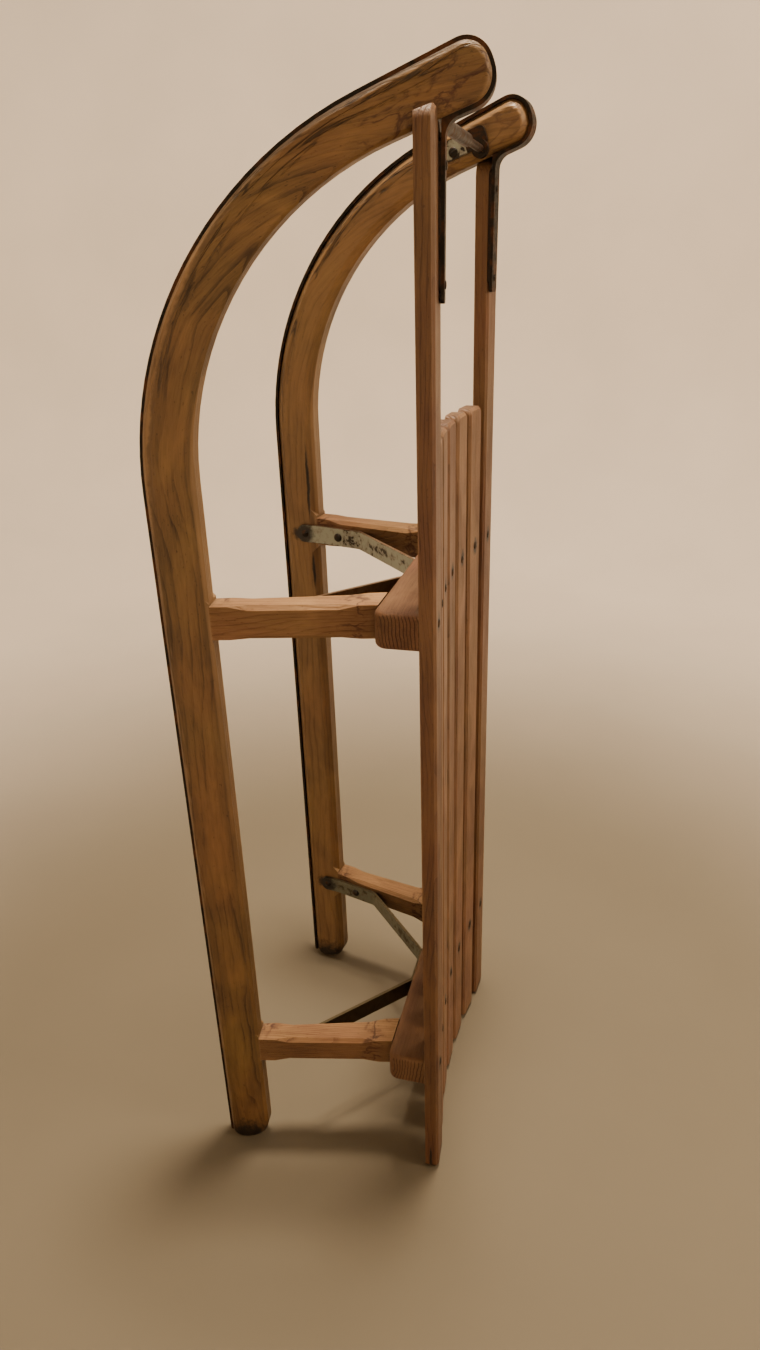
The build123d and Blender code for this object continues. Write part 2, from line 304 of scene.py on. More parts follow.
def runner_marks(tree, spot):
    """old age of a runner: black ends and bolt stains, cracks, knots, and a frayed rim at the iron

    A function of marks returns four factors: stains and painted shade, knots, bare wear and painted
    light, and cuts into the wood.
    Places are in the frame of the bent grain, where depth is 0.257 on the seat side and 0.302 on
    the sole, and across is negative on the inner side.
    """
    depth, across, run = node(tree, "SeparateXYZ", (spot,), ALL)
    tail = ((0.281, 0, -0.01), (0.06, 0.05, 0.05))
    # The patch under the horn is painted shade; the patches at the tail and at the bolts are stains
    shade_under_horn = ((0.256, 0, 1.178), (0.01, 0.05, 0.035))
    bolts = [((0.2815, -0.017, h - 0.004), (0.012, 0.01, 0.012)) for h in YOKES.values()]
    dark = blotches(tree, spot, [tail, shade_under_horn, *bolts])

    # The right runner has split along its grain on both sides of the front leg
    side = node(tree, "SeparateXYZ", (node(tree, "TexCoord", take="Object"),), "Y")
    is_right = node(tree, "Math", (side, 0.0), operation="GREATER_THAN")
    drift = node(tree, "TexNoise", {"Vector": spot, "Scale": 45.0, "Detail": 4.0}, "Color")
    drift = node(tree, "VectorMath", (drift, (0.005, 0, 0), spot), operation="MULTIPLY_ADD")
    above_leg = ((0.2682, -0.014, 0.726), (0.0024, 0.006, 0.056))
    below_leg = ((0.2665, -0.014, 0.618), (0.0024, 0.006, 0.03))
    split = blotches(tree, drift, [above_leg, below_leg], 0.1)
    split = node(tree, "Math", (split, is_right), operation="MULTIPLY")
    dark = node(tree, "Math", (dark, split), operation="MAXIMUM")

    # Red-brown figure round the knots of the horn, and a strip of it beside the split
    by_rod = ((0.274, 0, 1.168), (0.016, 0.05, 0.04))
    at_nose = ((0.279, 0, 1.22), (0.026, 0.05, 0.035))
    knotted = blotches(tree, spot, [by_rod, at_nose])
    figure = veins(tree, spot, (75, 75, 32), 0.055)
    figure = node(tree, "Math", (figure, 0.1), operation="MAXIMUM")
    knots = node(tree, "Math", (knotted, figure), operation="MULTIPLY")
    beside_split = ((0.2625, -0.012, 0.68), (0.0085, 0.03, 0.14))
    strip = blotches(tree, drift, [beside_split], 0.3)
    strip = node(tree, "Math", (strip, is_right), operation="MULTIPLY")
    strip = node(tree, "Math", (strip, 0.4), operation="MULTIPLY")
    knots = node(tree, "Math", (knots, strip), operation="MAXIMUM")

    # Hands keep the middle of the plank clean and it's browner low on the sled; the outer side is
    # painted darker besides, painted shade that evens out the light on the two sides
    aside = node(tree, "Math", (depth, 0.273), operation="SUBTRACT")
    aside = node(tree, "Math", (aside,), operation="ABSOLUTE")
    cloud = stretched(tree, spot, (50, 50, 14), 4.0)
    aside = node(tree, "Math", (cloud, 0.034, aside), operation="MULTIPLY_ADD")
    least = node(tree, "MapRange", (across, -0.01, 0.01, 0.0, 0.11))
    most = node(tree, "MapRange", (across, -0.01, 0.01, 0.1, 0.38))
    handled = node(tree, "MapRange", (aside, 0.024, 0.042, least, most), **SMOOTH)
    low_part = node(tree, "MapRange", (run, 0.85, 1.05, 1.0, 0.35))
    handled = node(tree, "Math", (handled, low_part), operation="MULTIPLY")
    dark = node(tree, "Math", (dark, handled), operation="MAXIMUM")

    # Next to the iron the plank is frayed, pale where fibres stand up and dark where they're torn
    rim = node(tree, "MapRange", (depth, 0.2915, 0.3015, 0.0, 0.75))
    fibres = stretched(tree, spot, (420, 420, 34), 3.0)
    frayed = node(tree, "Math", (rim, fibres), operation="ADD")
    worn = node(tree, "MapRange", (frayed, 0.95, 1.15, 0.0, 0.7))
    torn = node(tree, "Math", (rim, fibres), operation="SUBTRACT")
    torn = node(tree, "MapRange", (torn, 0.05, 0.3, 0.0, 0.6))

    # Above the rear leg a pale band along the seat side is a painted highlight, as of a wide lit
    # chamfer, and the dark line along it, most outside, is painted shade
    high = node(tree, "MapRange", (run, 0.3, 0.7, 0.0, 1.0))
    rubbed = node(tree, "MapRange", (depth, 0.2588, 0.2612, 0.6, 0.0))
    rubbed = node(tree, "Math", (rubbed, high), operation="MULTIPLY")
    worn = node(tree, "Math", (worn, rubbed), operation="MAXIMUM")
    line = node(tree, "MapRange", (depth, 0.261, 0.2685, most, 0.0))
    face_only = node(tree, "Math", (depth, 0.2604), operation="GREATER_THAN")
    line = node(tree, "Math", (line, face_only), operation="MULTIPLY")
    dark = node(tree, "Math", (dark, line), operation="MAXIMUM")
    dark = node(tree, "Math", (dark, torn), operation="MAXIMUM")

    # The inner sides are painted paler: painted light that makes up for the shade the sled casts on
    # them
    inner = node(tree, "MapRange", (across, -0.012, 0.0, 0.25, 0.0))
    worn = node(tree, "Math", (worn, inner), operation="MAXIMUM")

    # Bending opened thin wavy splits along the sole side of the bend and the horn
    sole_side = ((0.296, 0, 1.02), (0.012, 0.05, 0.3))
    open_part = blotches(tree, spot, [sole_side], 0.5)
    thin = veins(tree, spot, (150, 150, 11), 0.05)
    thin = node(tree, "Math", (thin, 0.1), operation="MAXIMUM")
    splits = node(tree, "Math", (open_part, thin), operation="MULTIPLY")
    dark = node(tree, "Math", (dark, splits), operation="MAXIMUM")
    at_iron = ((0.3045, 0, 1.08), (0.008, 0.05, 0.3))
    along_iron = blotches(tree, spot, [at_iron], 0.3)
    along_iron = node(tree, "Math", (along_iron, 0.8), operation="MULTIPLY")
    dark = node(tree, "Math", (dark, along_iron), operation="MAXIMUM")
    cut = node(tree, "Math", (splits, split), operation="MAXIMUM")

    # Along the bend the outer side has lost its varnish next to the iron, up to a wavy edge; the
    # dark line along that edge is a painted shadow of its ridge
    outer_bend = ((0.306, 0.014, 0.88), (0.0125, 0.014, 0.2))
    bare = blotches(tree, drift, [outer_bend], 0.3)
    bleached = node(tree, "Math", (bare, 0.5), operation="MULTIPLY")
    worn = node(tree, "Math", (worn, bleached), operation="MAXIMUM")
    kept = node(tree, "Math", (bare, -0.65, 1.0), operation="MULTIPLY_ADD")
    dark = node(tree, "Math", (dark, kept), operation="MULTIPLY")
    ridge_and_shadow = node(tree, "Math", (1.0, bare), operation="SUBTRACT")
    ridge_and_shadow = node(tree, "Math", (ridge_and_shadow, bare), operation="MULTIPLY")
    ridge_and_shadow = node(tree, "Math", (ridge_and_shadow, 1.8), operation="MULTIPLY")
    dark = node(tree, "Math", (dark, ridge_and_shadow), operation="MAXIMUM")
    cut = node(tree, "Math", (cut, ridge_and_shadow), operation="MAXIMUM")
    return dark, knots, worn, cut


def seat_marks(tree, spot):
    """tannin stains round the screws of the seat, and dirt at the feet of rails and slats"""
    # Y across the slat from its middle, as the stains lie on the middle of every slat
    width = 0.035
    y = node(tree, "SeparateXYZ", (node(tree, "TexCoord", take="Generated"),), "Y")
    y = node(tree, "Math", (y, 0.5), operation="SUBTRACT")
    y = node(tree, "Math", (y, width), operation="MULTIPLY")
    z = node(tree, "SeparateXYZ", (spot,), "Z")
    middle = node(tree, "CombineXYZ", (0.0, y, z))
    screws = [((0, 0, h), (1, 0.0075, 0.011)) for h in SCREW_HEIGHTS]
    foot = ((0, 0.004, 0), (1, 0.05, 0.007))
    dark = blotches(tree, middle, [*screws, foot])

    # The left rail has a split foot
    place = node(tree, "TexCoord", take="Object")
    low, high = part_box("seat_rail_left")
    at_foot = (((low.x + high.x) / 2, low.y, 0.012), (0.0018, 0.02, 0.028))
    split = blotches(tree, place, [at_foot], 0.2)
    dark = node(tree, "Math", (dark, split), operation="MAXIMUM")
    return dark, 0.0, 0.0, split


def yoke_marks(tree, spot):
    """dark red knots in the legs, near the runners and near the crossbeams"""
    place = mirrored_place(tree)
    ends = (-0.092, 0.028)
    knots = [((x, 0.12, h), (0.016, 0.05, 0.05)) for x in ends for h in YOKES.values()]
    knotted = blotches(tree, place, knots)
    figure = veins(tree, place, (45, 45, 90))
    return 0.0, node(tree, "Math", (knotted, figure), operation="MULTIPLY"), 0.0, 0.0


def old_ash(name, grain, axis, light, dark, pith, ring, gloss, marks, top_highlight=1.0, lines=1.0):
    """Ash, planed and oiled or varnished by hand, then worn for decades.

    Ash has open pores in bands, so the eye sees dark lines of early wood that run in long flames,
    short pore strokes in them and pale rubbed edges, and the corners get painted shade. The faces
    that look to the horns, up in the scene, are painted lighter by a given factor, a painted
    highlight of the light from above. Rings that lie nearly flat in a face show as weak lines
    there, and lines is their share.
    """
    wood = bpy.context.scene.toboggan_wood
    material, tree, shader = new_material(name)
    spot = grain(tree)
    chance = node(tree, "ObjectInfo", take="Random")
    shift = node(tree, "VectorMath", (chance, (0.013, 0.021, 5.3)), operation="MULTIPLY")
    fibre = horn_runout(tree, spot) if grain is bent_grain else spot
    place = node(tree, "VectorMath", (fibre, shift), operation="ADD")

    # The tree's own growth bends the rings a few millimetres over 200 mm of length
    wander = stretched(tree, place, (12, 12, 3), 3.0, take="Color")
    wander = node(tree, "VectorMath", (wander, (0.5, 0.5, 0.5)), operation="SUBTRACT")
    warped = node(tree, "VectorMath", (wander, (0.03, 0.03, 0.0), place), operation="MULTIPLY_ADD")
    ring_place = node(tree, "VectorMath", (warped, pith), operation="SUBTRACT")
    # The wave texture has 20 waves in 2 pi metres at a scale of 1
    rings = node(
        tree,
        "TexWave",
        {
            "Vector": ring_place,
            "Scale": 2 * math.pi / 20 / ring,
            "Distortion": 1.2,
            "Detail": 3.0,
            "Detail Scale": 0.5,
        },
        "Fac",
        wave_type="RINGS",
        rings_direction="Z",
        wave_profile="SAW",
    )
    early = node(tree, "MapRange", (rings, 0.0, 0.36, 1.0, 0.0), **SMOOTH)

    # Cut ends soak up dirt, and their rings stand out
    face = node(tree, "NewGeometry", take="Normal")
    end = node(tree, "VectorMath", (face, axis), "Value", operation="DOT_PRODUCT")
    end = node(tree, "Math", (end,), operation="ABSOLUTE")
    end = node(tree, "MapRange", (end, 0.75, 0.95, 0.0, 0.8))
    seen = node(tree, "MapRange", (end, 0.0, 0.8, lines, 1.0))
    early = node(tree, "Math", (early, seen), operation="MULTIPLY")

    # Pores are 0.3 mm wide and 10 mm long; they are drawn 1 mm wide so that they show
    pores = stretched(tree, place, (900, 900, 60), 3.0)
    pores = node(tree, "MapRange", (pores, 0.42, 0.68, 0.0, 1.0))
    streaks = stretched(tree, place, (260, 260, 14), 4.0)
    cloud = stretched(tree, place, (30, 30, 12), 5.0, distortion=0.6)
    # Specks of dirt are 0.5 mm and drawn 1.5 mm wide so that they show
    specks = stretched(tree, place, (1, 1, 0.35), 2.0, scale=640.0)
    specks = node(tree, "MapRange", (specks, 0.66, 0.74, 0.0, 0.4))

    # Darkness of the wood: rings that fade in and out, ends, pores, streaks, clouds and specks
    faded = node(tree, "MapRange", (cloud, 0.38, 0.6, 0.12, 0.42))
    faded = node(tree, "Math", (faded, end), operation="ADD")
    tone = node(tree, "Math", (early, faded), operation="MULTIPLY")
    tone = node(tree, "Math", (end, 0.1, tone), operation="MULTIPLY_ADD")
    tone = node(tree, "Math", (pores, 0.2, tone), operation="MULTIPLY_ADD")
    streak_tone = node(tree, "MapRange", (streaks, 0.34, 0.7, -0.05, 0.18))
    tone = node(tree, "Math", (tone, streak_tone), operation="ADD")
    cloud_tone = node(tree, "MapRange", (cloud, 0.34, 0.7, 0.0, 0.5))
    tone = node(tree, "Math", (tone, cloud_tone), operation="ADD")
    tone = node(tree, "Math", (tone, specks), operation="ADD", use_clamp=True)
    base = node(tree, "Mix", {0: tone, 6: light, 7: dark}, **BLEND)

    # Each piece is a little lighter or darker than the next, and its hue drifts along it
    value = node(tree, "MapRange", (chance, 0.0, 1.0, 0.93, 1.05))
    # The faces that look to the horns, up in the scene, are painted lighter: a painted highlight of
    # the light from above
    up = node(tree, "SeparateXYZ", (face,), "Z")
    up = node(tree, "MapRange", (up, 0.4, 0.9, 1.0, top_highlight))
    value = node(tree, "Math", (value, up), operation="MULTIPLY")
    hue = stretched(tree, place, (14, 14, 8), 3.0)
    hue = node(tree, "MapRange", (hue, 0.35, 0.65, 0.492, 0.508))
    base = node(tree, "HueSaturation", {"Hue": hue, "Value": value, "Color": base})

    stain_and_shade, knots, frayed, cut = marks(tree, spot)
    base = node(tree, "Mix", {0: knots, 6: base, 7: wood.knot}, **BLEND)

    # Pale edges: rubbed edges and the frayed rim, with the runners' painted highlight along the
    # seat side and painted light on their inner sides
    rub = rubbed_edges(tree, 0.003, 0.9, 1.0)
    patchy = node(tree, "MapRange", (streaks, 0.4, 0.6, 0.0, 0.36))
    rub = node(tree, "Math", (rub, patchy), operation="MULTIPLY")
    rub = node(tree, "Math", (rub, frayed), operation="MAXIMUM")
    base = node(tree, "Mix", {0: rub, 6: base, 7: wood.worn}, **BLEND)

    # Painted shade where pieces meet, from ambient occlusion, added to the marks' stains and
    # painted shade and to the dirt that cut ends soak up
    shade = node(tree, "AmbientOcclusion", {"Distance": 0.014}, "AO", samples=6)
    dirt = node(tree, "MapRange", (shade, 0.7, 0.25, 0.0, 0.8))
    dirt = node(tree, "Math", (dirt, stain_and_shade), operation="MAXIMUM")
    soaked = node(tree, "Math", (end, early), operation="MULTIPLY")
    dirt = node(tree, "Math", (soaked, 0.7, dirt), operation="MULTIPLY_ADD")
    dirt = node(tree, "Math", (dirt, 1.0), operation="MINIMUM")
    base = node(tree, "Mix", {0: dirt, 6: base, 7: wood.grime_and_shade}, **BLEND)
    rough = node(tree, "MapRange", (tone, 0.0, 1.0, gloss, gloss + 0.2))

    # Early wood wears down 0.15 mm, pores are 0.1 mm deep, dents of use 0.4 mm
    relief = node(tree, "Math", (pores, 0.35, early), operation="MULTIPLY_ADD")
    relief = node(tree, "Math", (streaks, 1.0, relief), operation="MULTIPLY_ADD")
    relief = node(tree, "Math", (cloud, 2.6, relief), operation="MULTIPLY_ADD")
    relief = node(tree, "Math", (cut, 3.0, relief), operation="MULTIPLY_ADD")
    depth = {"Strength": 0.8, "Distance": 0.0004, "Height": relief}
    bump = node(tree, "Bump", depth, invert=True)
    fill(tree, shader, {"Base Color": base, "Roughness": rough, "Normal": bump})
    return material


def forged_iron(name):
    """Mild steel strip, rolled and left bare: brown-black scale, rust patches, edges worn grey."""
    steel = bpy.context.scene.toboggan_steel
    material, tree, shader = new_material(name)
    place = node(tree, "TexCoord", take="Object")
    patches = node(tree, "TexNoise", {"Vector": place, "Scale": 60.0, "Detail": 6.0}, "Fac")
    # Pits of the scale are 0.3 mm wide and drawn 2 mm wide so that they show
    grit = node(tree, "TexNoise", {"Vector": place, "Scale": 420.0, "Detail": 4.0}, "Fac")
    rusty = node(tree, "MapRange", (patches, 0.48, 0.66, 0.0, 0.8))
    base = node(tree, "Mix", {0: rusty, 6: steel.iron, 7: steel.rust}, **BLEND)
    flecks = node(tree, "MapRange", (grit, 0.64, 0.72, 0.0, 0.35))
    rub = rubbed_edges(tree, 0.0012, 0.86, 0.5)
    rub = node(tree, "Math", (rub, flecks), operation="MAXIMUM")
    base = node(tree, "Mix", {0: rub, 6: base, 7: steel.rod}, **BLEND)
    rough = node(tree, "MapRange", (grit, 0.3, 0.7, 0.48, 0.75))
    bump = node(tree, "Bump", {"Strength": 0.6, "Distance": 0.0004, "Height": grit})
    fill(tree, shader, {"Base Color": base, "Metallic": 0.7, "Roughness": rough, "Normal": bump})
    return material


def brace_paint(tree):
    """where a brace is painted (not on its outer and seat sides), black, and scraped"""
    y = node(tree, "SeparateXYZ", (node(tree, "TexCoord", take="Object"),), "Y")
    half = node(tree, "Math", (y,), operation="SIGN")
    face = node(tree, "NewGeometry", take="True Normal")
    fold = node(tree, "CombineXYZ", (0.6, half))
    out = node(tree, "VectorMath", (face, fold), "Value", operation="DOT_PRODUCT")
    painted = node(tree, "Math", (out, -0.2), operation="LESS_THAN")
    heights = YOKES.values()
    at_bolt = [((0.274, -0.014, h - BRACE_DROP), (0.016, 0.01, 0.017)) for h in heights]
    scorched = blotches(tree, bent_grain(tree), at_bolt)
    sloped = [((0.003, 0.075, h - 0.002), (0.06, 0.055, 0.0055)) for h in heights]
    scraped = blotches(tree, mirrored_place(tree), sloped, 0.9)
    scraped = node(tree, "Math", (scraped, 0.15, -0.035), operation="MULTIPLY_ADD")
    return painted, scorched, scraped


def rod_paint(tree):
    """where the rod is painted, on its palms alone, and where it is black"""
    spot = bent_grain(tree)
    _, across, run = node(tree, "SeparateXYZ", (spot,), ALL)
    on_palm = node(tree, "Math", (across, -0.0152), operation="GREATER_THAN")
    painted = node(tree, "Math", (run, 1.178), operation="LESS_THAN")
    painted = node(tree, "Math", (painted, on_palm), operation="MULTIPLY")
    at_screw = ((0.2675, -0.014, 1.166), (0.0095, 0.01, 0.03))
    return painted, blotches(tree, spot, [at_screw]), 0.07


def chipped_enamel(name, bare, paint):
    """Stoved enamel on steel: smooth, half glossy, chipped to dark scale, rust round the chips."""
    steel = bpy.context.scene.toboggan_steel
    material, tree, shader = new_material(name)
    place = node(tree, "TexCoord", take="Object")
    flakes = {"Vector": place, "Scale": 150.0, "Detail": 6.0, "Roughness": 0.65}
    chips = node(tree, "TexNoise", flakes, "Fac")
    large = node(tree, "TexNoise", {"Vector": place, "Scale": 30.0, "Detail": 3.0}, "Fac")
    depth = node(tree, "Math", (large, 0.8, chips), operation="MULTIPLY_ADD")
    edge = rubbed_edges(tree, 0.0018, 0.86, 0.14)
    depth = node(tree, "Math", (depth, edge), operation="ADD")
    painted, black, scraped = paint(tree)
    depth = node(tree, "Math", (depth, scraped), operation="ADD")
    gone = node(tree, "MapRange", (depth, 0.99, 1.02, 0.0, 1.0))
    stain = node(tree, "MapRange", (depth, 0.84, 1.02, 0.0, 0.5))
    base = node(tree, "Mix", {0: stain, 6: steel.enamel, 7: steel.rust}, **BLEND)
    base = node(tree, "Mix", {0: gone, 6: base, 7: steel.chip}, **BLEND)

    rusty = node(tree, "MapRange", (chips, 0.46, 0.66, 0.0, 0.7))
    back = node(tree, "Mix", {0: rusty, 6: bare, 7: steel.rust}, **BLEND)
    base = node(tree, "Mix", {0: painted, 6: back, 7: base}, **BLEND)

    # The braces turn a dark olive towards the bottom, so the lower brace is dark
    height = node(tree, "SeparateXYZ", (place,), "Z")
    low_darkening = node(tree, "MapRange", (height, 0.3, 0.5, 0.7, 0.0))
    base = node(tree, "Mix", {0: low_darkening, 6: base, 7: steel.low_olive}, **BLEND)
    base = node(tree, "Mix", {0: black, 6: base, 7: steel.chip}, **BLEND)
    metal = node(tree, "MapRange", (painted, 0.0, 1.0, 0.75, 0.0))
    rough = node(tree, "MapRange", (chips, 0.3, 0.7, 0.36, 0.66))
    relief = node(tree, "Math", (gone, painted), operation="MULTIPLY")
    relief = node(tree, "Math", (chips, 1.2, relief), operation="MULTIPLY_ADD")
    depth = {"Strength": 0.8, "Distance": 0.0002, "Height": relief}
    bump = node(tree, "Bump", depth, invert=True)
    fill(tree, shader, {"Base Color": base, "Metallic": metal, "Roughness": rough, "Normal": bump})
    return material


def bare_steel(name, base_colour, metal):
    """Turned steel head, bare and handled: dull with fine scratches and brown specks."""
    steel = bpy.context.scene.toboggan_steel
    material, tree, shader = new_material(name)
    place = node(tree, "TexCoord", take="Object")
    specks = node(tree, "TexNoise", {"Vector": place, "Scale": 160.0, "Detail": 5.0}, "Fac")
    brown = node(tree, "MapRange", (specks, 0.5, 0.64, 0.0, 0.5))
    base = node(tree, "Mix", {0: brown, 6: base_colour, 7: steel.rust}, **BLEND)
    rough = node(tree, "MapRange", (specks, 0.3, 0.7, 0.38, 0.65))
    bump = node(tree, "Bump", {"Strength": 0.4, "Distance": 0.0003, "Height": specks})
    fill(tree, shader, {"Base Color": base, "Metallic": metal, "Roughness": rough, "Normal": bump})
    return material


def gap_shade_filler(name):
    """Painted shade for gaps: nearly black with rust-brown flecks, quite matt, crumbly."""
    wood = bpy.context.scene.toboggan_wood
    steel = bpy.context.scene.toboggan_steel
    material, tree, shader = new_material(name)
    place = node(tree, "TexCoord", take="Object")
    crumbs = node(tree, "TexNoise", {"Vector": place, "Scale": 700.0, "Detail": 5.0}, "Fac")
    rusty = node(tree, "MapRange", (crumbs, 0.5, 0.7, 0.0, 0.35))
    base = node(tree, "Mix", {0: rusty, 6: wood.grime_and_shade, 7: steel.rust}, **BLEND)
    bump = node(tree, "Bump", {"Strength": 0.9, "Distance": 0.0003, "Height": crumbs})
    fill(tree, shader, {"Base Color": base, "Roughness": 0.95, "Normal": bump})
    return material


def pale_plaster(name, settings):
    """Plaster, trowelled flat: pale and matt with faint clouds."""
    material, tree, shader = new_material(name)
    place = node(tree, "TexCoord", take="Object")
    clouds = node(tree, "TexNoise", {"Vector": place, "Scale": 3.0, "Detail": 6.0}, "Fac")
    shade = node(tree, "MapRange", (clouds, 0.3, 0.7, 0.96, 1.03))
    reach = node(tree, "VectorMath", (place,), "Value", operation="LENGTH")
    risen = node(tree, "MapRange", (reach, 0.5, 2.1, 0.0, 1.0), **SMOOTH)
    ground = {0: risen, 6: settings.floor, 7: settings.backdrop}
    base = node(tree, "Mix", ground, **BLEND)
    base = node(tree, "HueSaturation", {"Value": shade, "Color": base})
    fill(tree, shader, {"Base Color": base, "Roughness": 0.85})
    return material


def give(material, *names):
    """put a material on carried-over nodes"""
    for name in names:
        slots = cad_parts[name].data.materials
        slots.clear()
        slots.append(material)


def both(name):
    """names of a piece's right and left copies"""
    return [name + "_right", name + "_left"]


def new_object(name, data):
    """object of the scene, at its origin"""
    made = bpy.data.objects.new(name, data)
    bpy.context.scene.collection.objects.link(made)
    return made


def finished_mesh(name, bm, material):
    """smooth mesh of the closed form in bm, which is used up"""
    bmesh.ops.recalc_face_normals(bm, faces=bm.faces)
    mesh = bpy.data.meshes.new(name)
    bm.to_mesh(mesh)
    bm.free()
    mesh.materials.append(material)
    mesh.shade_smooth()
    return mesh


def add_piece(name, bm, material):
    """finished mesh, riding on the sled"""
    mesh = finished_mesh(name, bm, material)
    mesh.set_sharp_from_angle(angle=math.radians(35))
    made = new_object(name, mesh)
    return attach(made, "root")


def circle(bm, radius, height, sides):
    """ring of points about Z, or a single point where the radius is 0"""
    count = sides if radius else 1
    turns = [2 * math.pi * i / count for i in range(count)]
    return [bm.verts.new((radius * math.cos(a), radius * math.sin(a), height)) for a in turns]


def skin(bm, rings):
    """faces from each ring of points to the next one"""
    for low, high in zip(rings, rings[1:]):
        for i in range(max(len(low), len(high))):
            j = i + 1
            loop = low[i % len(low)], low[j % len(low)], high[j % len(high)], high[i % len(high)]
            bm.faces.new(dict.fromkeys(loop))


def turned(bm, profile, sides):
    """closed round form about Z from (radius, height) pairs, the first and last on the axis"""
    skin(bm, [circle(bm, radius, height, sides) for radius, height in profile])


def screw_head(diameter, rise, slot_width, sides):
    """raised screw head on the origin, sunk a little, with a slot across it"""
    radius, half = diameter / 2, slot_width / 2
    sunk, slot_floor = -0.001, 0.0002
    bm = bmesh.new()
    dome = [
        (radius * math.cos(a), rise * (0.35 + 0.65 * math.sin(a))) for a in (0, 0.35, 0.75, 1.15)
    ]
    turned(bm, [(0, sunk), (radius, sunk), *dome, (0, rise)], sides)
    bm.normal_update()
    for side in (-1, 1):
        bmesh.ops.bisect_plane(
            bm,
            geom=[*bm.verts, *bm.edges, *bm.faces],
            plane_co=(side * half, 0, 0),
            plane_no=(1, 0, 0),
        )
    bm.normal_update()
    strip = [f for f in bm.faces if abs(f.calc_center_median().x) < half and f.normal.z > 0.4]
    made = bmesh.ops.extrude_face_region(bm, geom=strip)
    for vert in made["geom"]:
        if isinstance(vert, bmesh.types.BMVert):
            vert.co.z = slot_floor
    return bm


def bolt_head(radius, rise, sides):
    """domed bolt head on the origin, sunk a little"""
    sunk, brim = -0.001, 0.0006
    bm = bmesh.new()
    dome = [
        (radius * math.cos(a), brim + (rise - brim) * math.sin(a)) for a in (0, 0.3, 0.6, 0.9, 1.25)
    ]
    turned(bm, [(0, sunk), (radius, sunk), *dome, (0, rise)], sides)
    return bm


def stand_on(bm, part, place, normal, spin):
    """add a copy of a part to bm, its Z along the normal"""
    turn = Vector((0, 0, 1)).rotation_difference(normal).to_matrix().to_4x4()
    matrix = Matrix.Translation(place) @ turn @ Matrix.Rotation(spin, 4, "Z")
    copy = part.copy()
    copy.transform(matrix)
    mesh = bpy.data.meshes.new("part")
    copy.to_mesh(mesh)
    copy.free()
    bm.from_mesh(mesh)
    bpy.data.meshes.remove(mesh)


def on_runner(side, x, y, z):
    """a point of a runner's own upright frame, as a point of the sled; side is 1 right, -1 left"""
    turn = Matrix.Rotation(-SPLAY, 3, "Z")
    spot = RUNNER_FOOT + turn @ Vector((x, y, z))
    return Vector((spot.x, side * spot.y, spot.z))


def surface(name, start, toward):
    """place and normal where a line from start meets a carried-over node"""
    toward = Vector(toward).normalized()
    found, place, normal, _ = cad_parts[name].ray_cast(Vector(start), toward)
    if not found:
        raise RuntimeError(f"no surface of {name} on the line from {tuple(start)}")
    return place, normal


class TOBOGGAN_OT_wood(Operator):
    """Give runners, seat and yokes their old ash"""

    bl_idname = "toboggan.wood"
    bl_label = "Finish the Wood"

    def execute(self, context):
        wood = context.scene.toboggan_wood
        runner = old_ash(
            "ash_bent_varnished",
            bent_grain,
            axis=(0, 0, 0),
            light=wood.runner_light,
            dark=wood.runner_dark,
            pith=(0.12, 0.36, 0),
            ring=wood.runner_ring,
            gloss=0.42,
            marks=runner_marks,
        )
        give(runner, *both("runner"))
        for name, light, dark, pieces in (
            ("ash_planed_varnished", wood.slat_light, wood.slat_dark, SLATS),
            ("ash_planed_worn", wood.rail_light, wood.rail_dark, both("seat_rail")),
        ):
            seat = old_ash(
                name,
                turned_grain((0, 0, 0)),
                axis=(0, 0, 1),
                light=light,
                dark=dark,
                pith=(-0.6, -0.6, 0),
                ring=wood.seat_ring,
                gloss=0.45,
                marks=seat_marks,
            )
            give(seat, *pieces)
        # The crossbeams' real rings are about 1.7 mm wide; they are drawn wider so that they show
        beam = old_ash(
            "ash_sawn_bare",
            turned_grain((90, 0, 0)),
            axis=(0, 1, 0),
            light=wood.beam_light,
            dark=wood.beam_dark,
            pith=(-1.5, -0.4, 0),
            ring=wood.beam_ring,
            gloss=0.6,
            marks=yoke_marks,
            lines=0.45,
        )
        leg = old_ash(
            "ash_shaved_bare",
            turned_grain((90, -100.6, 0)),
            axis=(1, 0, 0),
            light=wood.leg_light,
            dark=wood.leg_dark,
            pith=(-1.0, -1.0, 0),
            ring=wood.leg_ring,
            gloss=0.6,
            marks=yoke_marks,
            top_highlight=1.52,
        )
        for place in YOKES:
            give(beam, "crossbeam_" + place)
            give(leg, *both("leg_" + place))
        return {"FINISHED"}


class TOBOGGAN_OT_steel(Operator):
    """Give irons, braces and the rod their steel"""

    bl_idname = "toboggan.steel"
    bl_label = "Finish the Steel"

    def execute(self, context):
        steel = context.scene.toboggan_steel
        give(forged_iron("iron_rolled_scaled"), *both("runner_iron"))
        brace = chipped_enamel("enamel_stoved_chipped", steel.brace, brace_paint)
        give(brace, "brace_front", "brace_rear")
        give(chipped_enamel("steel_drawn_half_painted", steel.rod, rod_paint), "nose_rod")
        return {"FINISHED"}


class TOBOGGAN_OT_seat_screws(Operator):
    """Screw the rails and slats to both crossbeams"""

    bl_idname = "toboggan.seat_screws"
    bl_label = "Seat Screws"

    def execute(self, context):
        sizes = context.scene.toboggan_fastenings
        head = screw_head(sizes.screw, 0.0012, 0.0013, sizes.turns)
        bm = bmesh.new()
        for order, name in enumerate(both("seat_rail") + SLATS):
            low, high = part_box(name)
            for count, height in enumerate(SCREW_HEIGHTS):
                drift = 0.0022 * noise.noise(Vector((order, count, 3.7)))
                start = (high.x + 0.05, (low.y + high.y) / 2 + drift, height + 2 * drift)
                place, normal = surface(name, start, (-1, 0, 0))
                stand_on(bm, head, place, normal, 1.9 * order + 0.7 * count)
        head.free()
        material = bare_steel("steel_screw_browned", context.scene.toboggan_steel.iron, 0.6)
        add_piece("seat_screws", bm, material)
        return {"FINISHED"}


